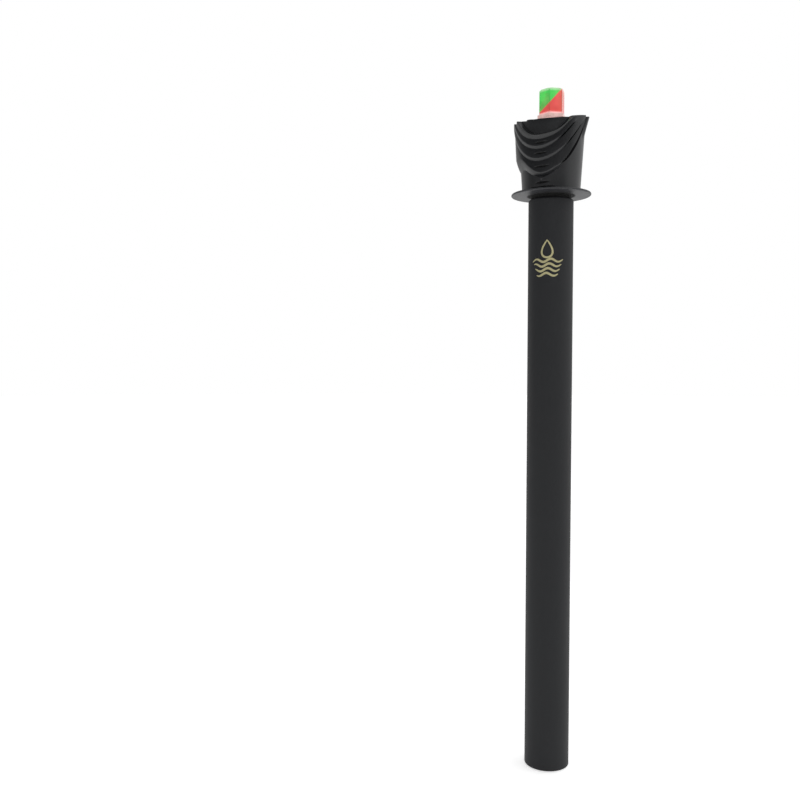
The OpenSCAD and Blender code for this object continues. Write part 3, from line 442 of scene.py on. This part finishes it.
def drape(turn, height):
    """How far the drape falls back from its full thickness in mm, and the shade painted there, 0 to 1.

    A lip is a rounded slope, (1 - (1 - t) ** 1.25) ** (1 / 1.25) of the way out at the share t of
    its height, the hollow above it deepens with a power of 1.5 up to the next lip, and the top
    edge is a smooth step. A shut slope is cut deeper by a raised cosine, and the lowest one by a
    level gap beside it. The folds die out below the right wing's rim, at each wing the drape
    hangs down as a flap whose thickness grows with the height, and an ellipsoid nib hangs under
    the middle of the lowest lip.
    """
    low, tall, shut, edge = lips(turn)
    turn = turn[:, None]
    lean = 1 - np.cos(np.radians(turn))
    level = height - FOLD_RISE * lean
    full = DRAPE_T + DRAPE_FLARE * height
    below_rim = rim_height(turn) - height
    depth = (FOLD_DEPTH * (1 - np.where(turn < 0, LEFT_SHALLOWS, RIGHT_SHALLOWS) * np.minimum(lean, 1))
             * (1 - smooth(45, 60, turn) * (1 - smooth(0.5, 5.5, below_rim))))

    # The lip that each point is on or above, and the slopes and hollows between the lips
    lip = np.clip((level[:, :, None] >= low[:, None, :]).sum(-1) - 1, 0, len(LIPS) - 1)
    lip_low, lip_h = np.take_along_axis(low, lip, 1), np.take_along_axis(tall, lip, 1)
    next_low = np.take_along_axis(np.append(low[:, 1:], low[:, -1:] + 99, 1), lip, 1)
    above = level - lip_low
    out = (1 - np.clip(1 - above / lip_h, 0, 1) ** LIP_ROUND) ** (1 / LIP_ROUND)
    hollow = depth * np.clip((above - lip_h) / (next_low - lip_low - lip_h), 0, 1) ** 1.5
    top = full * smooth(0, SCOOP_H, above - lip_h)

    # The gap beside the lowest lip, with painted shade from a little below its edge
    fade = smooth(0, 0.3, shut[:, :1]) * (1 - smooth(GAP_SHUTS, GAP_ENDS, height))
    gap = fade * smooth(-0.35, 0.35, level - edge)
    gap = gap * (GAP_DEPTH + GAP_DEEPENS * np.clip(height - 12, 0, 12))
    shade = fade ** 0.5 * smooth(-0.5, 0.1, level - edge)
    back = np.where(above < lip_h, np.where(lip == 0, full + gap, depth) * (1 - out),
                    np.where(lip == len(LIPS) - 1, top, hollow))
    back = np.where(above < 0, full + gap, back)
    dark = np.where((above < 0) | (lip == 0) & (above < lip_h), shade, 0)

    # The flaps, the slits of the two middle lips with their painted shade, and the nib
    side = np.abs(turn)
    flap = full * smooth(FLAP_FROM, FLAP_FULL, side) * (1 - smooth(FLAP_WANES, FLAP_TO, side))
    back = np.minimum(back, full - flap * np.clip((height - FLAP_H) / FLAP_GROWS, 0, 1))
    for i in range(1, len(LIPS) - 1):
        middle = SLIT_MIDDLE * tall[:, i:i + 1]
        slit = shut[:, i:i + 1] * bell((level - low[:, i:i + 1] - middle) / (middle + SLIT_SOFT))
        back, dark = back + SLIT_DEPTH * slit, np.maximum(dark, np.minimum(SLIT_DARK * slit, 1))
    nib = 1 - ((turn - NIB_TURN[0]) / NIB_TURN[1]) ** 2 - ((height - NIB_H[0]) / NIB_H[1]) ** 2
    return back - NIB_OUT * np.sqrt(np.clip(nib, 0, 1)), dark


def creases(turn, height):
    """Depth in mm of the real grooves, and painted shade 0 to 1, of the short creases and of the seat line
    at the foot.

    A crease is (1 - e) ** 1.5 of its full depth with e the elliptical distance from its middle,
    on a line that bows up on the right. The seat line is a raised cosine in height.
    """
    deep, dark = np.zeros_like(height), np.zeros_like(height)
    for middle_h, middle, half in CREASES:
        across = (turn - middle) / half
        bow = 0.5 * np.clip(across, 0, 1) ** 2
        near = np.clip(1 - across ** 2 - ((height - middle_h - bow) / CREASE_H) ** 2, 0, 1)
        deep, dark = np.maximum(deep, CREASE_DEPTH * near ** 1.5), np.maximum(dark, near ** 0.4)
    seat = bell((height - SEAT_H) / SEAT_HALF)
    return np.maximum(deep, SEAT_DEPTH * seat), np.maximum(dark, seat ** 0.6)


def outside_rows(turn, rim):
    """Heights of the rows up the outside, one row of the array for each turn.

    They go from edge to edge, so that they follow the folds: the foot, the gap's two edges, the
    lower and upper edge of each lip's slope, the top edge's step and the rim's corner.
    """
    low, tall, _, gap = lips(turn)
    gap = np.minimum(gap, low[:, :1] - GAP_UNDER)
    edges = np.stack([low, low + tall], -1).reshape(len(turn), -1)
    edges = np.concatenate([gap - GAP_SOFT, gap + GAP_SOFT, edges, edges[:, -1:] + SCOOP_H], 1)
    edges = edges + FOLD_RISE * (1 - np.cos(np.radians(turn)))[:, None]
    edges = np.concatenate([np.full_like(rim, FLANGE_T), edges, rim - RIM_SOFT], 1)
    shares = [FOOT_ROWS, np.linspace(0, 1, EDGE_ROWS, endpoint=False),
              np.linspace(0, 1, UNDER_ROWS, endpoint=False)]
    for count in HOLLOW_ROWS:
        shares += [SLOPE_ROWS, np.linspace(0, 1, count, endpoint=False)]
    shares.append(RIM_ROWS)
    rows = np.concatenate([edges[:, i:i + 1] + share * (edges[:, i + 1:i + 2] - edges[:, i:i + 1])
                           for i, share in enumerate(shares)], 1)
    still = rows.shape[1] - 1 - np.arange(rows.shape[1])
    return np.minimum(rows, rim - RIM_SOFT - still * ROW_STEP)


def crown():
    """The crown as one closed grid of sections, each up the outside, over the rim and down inside.

    Outside it is the plain cone plus the drape, less the folds and creases, and the rim's corners
    are quarter circles. Columns are closer where the drape is.
    """
    turn = np.unique(np.concatenate([np.arange(-180, 180, TURN_STEP), NICKS[1:-1, 0],
                                     np.arange(-DRAPE_TO, DRAPE_TO + 0.1, DRAPE_STEP)]).round(3))
    rim = rim_height(turn)[:, None]
    h = outside_rows(turn, rim)
    back, dark = drape(turn, h)
    deep, line = creases(turn[:, None], h)
    r = PLAIN_FOOT_R + TAPER * (h - FLANGE_T) + DRAPE_T + DRAPE_FLARE * h - back - deep

    out = np.radians(np.linspace(0, 90, 6)[1:])[None, :]
    over = np.radians(np.linspace(90, 0, 5))[None, :]
    inside_h = np.array([H_LEDGE, H_LEDGE, FLANGE_T])[None, :] + 0 * rim
    inside_r = np.array([RIM_IN, LEDGE_IN, FOOT_IN])[None, :] + 0 * rim
    h = np.concatenate([h, rim - RIM_SOFT + RIM_SOFT * np.sin(out),
                        rim - RIM_SOFT_IN + RIM_SOFT_IN * np.sin(over), inside_h], 1)
    r = np.concatenate([r, r[:, -1:] - RIM_SOFT + RIM_SOFT * np.cos(out),
                        RIM_IN + RIM_DRAFT + RIM_SOFT_IN - RIM_SOFT_IN * np.cos(over) + 0 * rim,
                        inside_r], 1)

    a = np.radians(turn)[:, None]
    points = np.stack([r * np.sin(a), -r * np.cos(a), FLANGE_Z + h], -1)
    faces = closed_grid(*h.shape)[:, ::-1]
    # Painted shade: the darkest faces of the gap and slits take the near-black material, and the attribute
    # darkens the crown's ABS there and in the creases and the seat line
    cavity, painted_shade = np.zeros_like(h), np.zeros_like(h)
    cavity[:, :dark.shape[1]] = dark
    painted_shade[:, :dark.shape[1]] = np.maximum(dark, line)
    in_cavity = cavity.ravel()[faces].mean(1) > CAVITY_FROM
    obj = piece("draped_crown", points.reshape(-1, 3), faces, CROWN_ABS, "housing")
    obj.data.materials.append(SLIT_SHADE_ABS)
    obj.data.polygons.foreach_set("material_index", in_cavity.astype(np.int32))
    obj.data.attributes.new("painted_shade", "FLOAT", "POINT").data.foreach_set("value", painted_shade.ravel())
    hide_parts("crown_shroud")
    return obj


crown()


# ---------------------------------------------------------------- printed mark

TUBE_R = 11.5
MARK_TURN, MARK_Z = math.radians(12.2), 263.9
INK_T, INK_SUNK = 0.04, 0.02                   # the ink stands on the tube, and its back lies in it
WAVES, WAVE_LONG, WAVE_SHORTER, WAVE_APART = 4, 16.6, 1.8, 2.35
WAVE_TOP, WAVE_SWING, WAVE_PERIOD, WAVE_W = -1.6, 0.75, 7.5, 1.15
DROP_HALF, DROP_HALF_H, DROP_MIDDLE, DROP_W = 3.75, 4.4, 4.3, 1.0


def printed_mark():
    """Four wavy lines and a drop, pad-printed on the tube in gold.

    A wave is a sine along x. The drop is (sin a * (0.5 - 0.5 cos a) ** 0.6, cos a), pointed at its
    top, where its ends stay a hundredth of a turn apart. Each stroke is a ribbon along its path
    (x, z), whose width goes with the half sine of its length to the power of 0.35, down to a fifth
    at its blunt ends. It is wrapped round the tube: a point x along the surface stands at the turn
    x / radius.
    """
    t = np.linspace(0, 1, 61)
    strokes = []
    for i in range(WAVES):
        x = (t - 0.5) * (WAVE_LONG - WAVE_SHORTER * i)
        swing = WAVE_SWING * np.sin(2 * np.pi * (x / WAVE_PERIOD + 0.1 * i))
        strokes.append((x, WAVE_TOP - WAVE_APART * i + swing, WAVE_W))
    a = 2 * np.pi * (0.01 + 0.98 * t)
    strokes.append((DROP_HALF * np.sin(a) * (0.5 - 0.5 * np.cos(a)) ** 0.6,
                    DROP_MIDDLE + DROP_HALF_H * np.cos(a), DROP_W))

    # Four lines of points along each stroke: two on the ink's face, two on its back
    points = []
    for x, z, width in strokes:
        dx, dz = np.gradient(x), np.gradient(z)
        half = width / 2 * np.maximum(np.sin(np.pi * t), 0.01) ** 0.35 / np.hypot(dx, dz)
        for lift, side in ((INK_T, 1), (INK_T, -1), (-INK_SUNK, -1), (-INK_SUNK, 1)):
            turn = MARK_TURN + (x - side * half * dz) / TUBE_R
            r, up = TUBE_R + lift, MARK_Z + z + side * half * dx
            points.append(np.stack([r * np.sin(turn), -r * np.cos(turn), up], -1))

    faces = []
    for start in range(0, len(strokes) * 4 * len(t), 4 * len(t)):
        along = start + np.arange(len(t) - 1)
        for j in range(4):
            line, following = along + j * len(t), along + (j + 1) % 4 * len(t)
            faces.append(np.stack([line, following, following + 1, line + 1], -1))
        end = start + len(t) * np.arange(4)[None, :]
        faces += [end[:, ::-1], end + len(t) - 1]
    return piece("printed_mark", np.concatenate(points), np.concatenate(faces), GOLD_PRINT,
                 "housing")


printed_mark()


# ---------------------------------------------------------------- stage, light and camera

PAPER_LIFT = 0.58                              # what the paper adds for the camera and reflections


def paper():
    """White matt paper, which the camera and reflections see a little lighter, as white as the room."""
    material, tree = blank_material("white_studio_paper")
    place = add(tree, "ShaderNodeTexCoord").outputs["Object"]
    fibre = add(tree, "ShaderNodeTexNoise", {"Vector": place, "Scale": 1 / (4 * MM)}).outputs["Fac"]
    colour = ramp(tree, fibre, [(0.2, "#f3f3f3"), (0.8, "#f7f7f7")])
    matt = add(tree, "ShaderNodeBsdfDiffuse", {"Color": colour})
    ray = add(tree, "ShaderNodeLightPath").outputs
    seen = add(tree, "ShaderNodeMath", {0: ray["Is Camera Ray"], 1: ray["Is Glossy Ray"]},
               operation="MAXIMUM").outputs[0]
    seen = add(tree, "ShaderNodeMath", {0: seen, 1: ray["Is Transmission Ray"]},
               operation="MAXIMUM").outputs[0]
    lift = add(tree, "ShaderNodeMath", {0: seen, 1: PAPER_LIFT}, operation="MULTIPLY").outputs[0]
    glow = add(tree, "ShaderNodeEmission", {"Color": (1, 1, 1, 1), "Strength": lift})
    both = add(tree, "ShaderNodeAddShader", {0: matt.outputs[0], 1: glow.outputs[0]})
    add(tree, "ShaderNodeOutputMaterial", {"Surface": both.outputs[0]})
    return material


FLOOR_R, FLOOR_Z = 6.0, -0.0003


def floor():
    """A round floor of paper just under the heater's end: a polygon of 72 corners on a circle."""
    a = np.radians(np.arange(0, 360, 5))
    rim = np.stack([FLOOR_R * np.cos(a), FLOOR_R * np.sin(a), np.full_like(a, FLOOR_Z)], -1)
    mesh = bpy.data.meshes.new("floor")
    mesh.from_pydata(rim.tolist(), [], [list(range(len(a)))])
    mesh.materials.append(paper())
    obj = bpy.data.objects.new("floor", mesh)
    bpy.context.scene.collection.objects.link(obj)


CARD = (0.0, -1.0, 0.0)           # level direction from the heater to the middle of the dark card
RIGHT = (0.934, 0.358, 0.0)       # and to the window side


def room():
    """A white room with a dark card in front, brightest high on the right.

    Its level is the card's times the wall's, which grows to the right, plus the ceiling's, which
    grows upwards on the right. What is seen directly or through the dial is plain white.
    """
    scene_world = bpy.data.worlds.new("white_room")
    bpy.context.scene.world = scene_world
    scene_world.use_nodes = True
    tree = scene_world.node_tree
    tree.nodes.clear()
    way = add(tree, "ShaderNodeTexCoord").outputs["Generated"]
    ahead = add(tree, "ShaderNodeVectorMath", {0: way, 1: CARD}, operation="DOT_PRODUCT").outputs["Value"]
    card = add(tree, "ShaderNodeMapRange", {"Value": ahead, "From Min": -0.09, "From Max": 0.50,
                                            "To Min": 1.0, "To Max": 0.12},
               interpolation_type="SMOOTHSTEP").outputs[0]
    side = add(tree, "ShaderNodeVectorMath", {0: way, 1: RIGHT}, operation="DOT_PRODUCT").outputs["Value"]
    wall = add(tree, "ShaderNodeMapRange", {"Value": side, "From Min": -1.0, "From Max": 1.0,
                                            "To Min": 0.55, "To Max": 0.90}).outputs[0]
    level = add(tree, "ShaderNodeMath", {0: card, 1: wall}, operation="MULTIPLY").outputs[0]
    rise = add(tree, "ShaderNodeSeparateXYZ", {0: way}).outputs["Z"]
    high = add(tree, "ShaderNodeMapRange", {"Value": rise, "From Min": 0.10, "From Max": 0.80,
                                            "To Min": 0.0, "To Max": 0.45}).outputs[0]
    beside = add(tree, "ShaderNodeMapRange", {"Value": side, "From Min": 0.05,
                                              "From Max": 0.60}).outputs[0]
    ceiling = add(tree, "ShaderNodeMath", {0: high, 1: beside}, operation="MULTIPLY").outputs[0]
    level = add(tree, "ShaderNodeMath", {0: level, 1: ceiling}, operation="ADD").outputs[0]
    light = add(tree, "ShaderNodeBackground", {"Color": (1, 1, 1, 1), "Strength": level})
    white = add(tree, "ShaderNodeBackground", {"Color": (1, 1, 1, 1), "Strength": 1.0})
    ray = add(tree, "ShaderNodeLightPath").outputs
    seen = add(tree, "ShaderNodeMath", {0: ray["Is Camera Ray"], 1: ray["Is Transmission Ray"]},
               operation="MAXIMUM").outputs[0]
    mix = add(tree, "ShaderNodeMixShader", {0: seen, 1: light.outputs[0], 2: white.outputs[0]})
    add(tree, "ShaderNodeOutputWorld", {"Surface": mix.outputs[0]})


def soft_box(name, place, target, size, power, glossy=True):
    """A rectangular soft box at place that faces target, both in metres."""
    data = bpy.data.lights.new(name, "AREA")
    data.shape = "RECTANGLE"
    data.size, data.size_y = size
    data.energy = power
    lamp = bpy.data.objects.new(name, data)
    bpy.context.scene.collection.objects.link(lamp)
    way = Vector(target) - Vector(place)
    lamp.visible_glossy = glossy
    lamp.visible_camera = False
    lamp.matrix_world = Matrix.Translation(place) @ way.to_track_quat("-Z", "Y").to_matrix().to_4x4()


CAMERA_AT = (-0.0776166, -0.4616817, 0.2090600)   # in the view that is turned by CAMERA_TURN
CAMERA_TURN = math.radians(30.5)
CAMERA_PITCH, CAMERA_ROLL = 0.0386810, 0.00195338  # radians down and round


def camera():
    """A 40 mm lens at the height of the tube's upper half, tipped down by two degrees."""
    x, y, z = CAMERA_AT
    sine, cosine = math.sin(CAMERA_TURN), math.cos(CAMERA_TURN)
    place = Vector((x * cosine - y * sine, x * sine + y * cosine, z))
    level = math.cos(CAMERA_PITCH)
    ahead = Vector((-sine * level, cosine * level, -math.sin(CAMERA_PITCH)))
    right = ahead.cross(Vector((0, 0, 1))).normalized()
    up = right.cross(ahead)
    sine, cosine = math.sin(CAMERA_ROLL), math.cos(CAMERA_ROLL)
    right, up = right * cosine + up * sine, up * cosine - right * sine
    data = bpy.data.cameras.new("camera")
    data.lens = 40
    data.sensor_width = 36
    data.clip_start = 0.01
    obj = bpy.data.objects.new("camera", data)
    bpy.context.scene.collection.objects.link(obj)
    obj.matrix_world = Matrix((
        (right.x, up.x, -ahead.x, place.x),
        (right.y, up.y, -ahead.y, place.y),
        (right.z, up.z, -ahead.z, place.z),
        (0, 0, 0, 1)))
    bpy.context.scene.camera = obj


floor()
room()
# Front fill: crossed polarisers keep its gleam off the black plastic
soft_box("front_fill", (0.50, -1.20, 0.55), (0, 0, 0.2), (1.2, 1.0), 5.0, glossy=False)
# Low on the left it catches the undersides of the folds
soft_box("low_left", (-0.50, -0.75, 0.06), (0, 0, 0.32), (0.45, 0.25), 0.5)
camera()
bpy.context.scene.view_settings.view_transform = "Standard"
